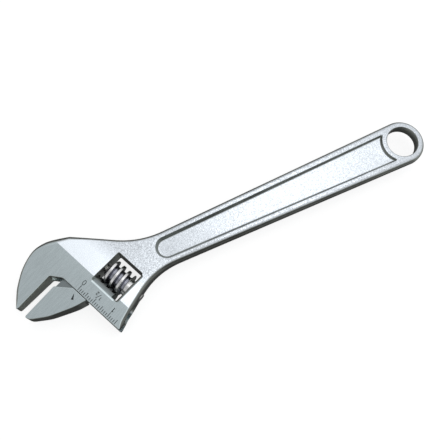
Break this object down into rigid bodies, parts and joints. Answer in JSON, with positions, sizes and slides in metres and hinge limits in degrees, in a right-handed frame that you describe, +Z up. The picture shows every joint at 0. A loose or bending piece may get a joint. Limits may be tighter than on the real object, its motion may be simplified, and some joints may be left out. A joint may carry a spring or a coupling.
{
  "type": "adjustable wrench",
  "caption": "Chrome adjustable wrench whose worm slides the lower jaw on a rack, with a recessed flat handle and a hanging hole.",
  "frame": {"origin": "middle of the footprint, at the height of the lowest point of the head's underside", "axes": "+X runs along the handle from the jaws to the hanging hole, +Z is up out of the face with the scale, and +Y is the side of the fixed jaw"},
  "size_m": [0.3018, 0.0724, 0.0198],
  "materials": {
    "chromed_forging": "satin chrome on the forged faces, ground and polished on the jaw faces",
    "ground_jaw": "ground and chromed",
    "worm_steel": "turned and chromed, dark between the ribs",
    "pin_steel": "turned",
    "spring_steel": "drawn wire"
  },
  "bodies": {
    "body": {"wrench_body": "chromed_forging", "worm_pin": "pin_steel", "worm_spring": "spring_steel"},
    "jaw": {"movable_jaw": "ground_jaw"},
    "worm": {"adjusting_worm": "worm_steel"}
  },
  "joints": [
    {"name": "jaw_slide", "type": "slide", "parent": "body", "child": "jaw", "axis": [0.3827, -0.9239, 0], "range_m": [-0.0064, 0.0273]},
    {"name": "worm_spin", "type": "hinge", "parent": "body", "child": "worm", "pos_m": [-0.08572, -0.00611, 0.0099], "axis": [-0.3827, 0.9239, 0], "range_deg": [-480, 2015]}
  ],
  "couplings": [
    {"joint": "worm_spin", "follows": "jaw_slide", "rad_per_m": 1282.3}
  ]
}
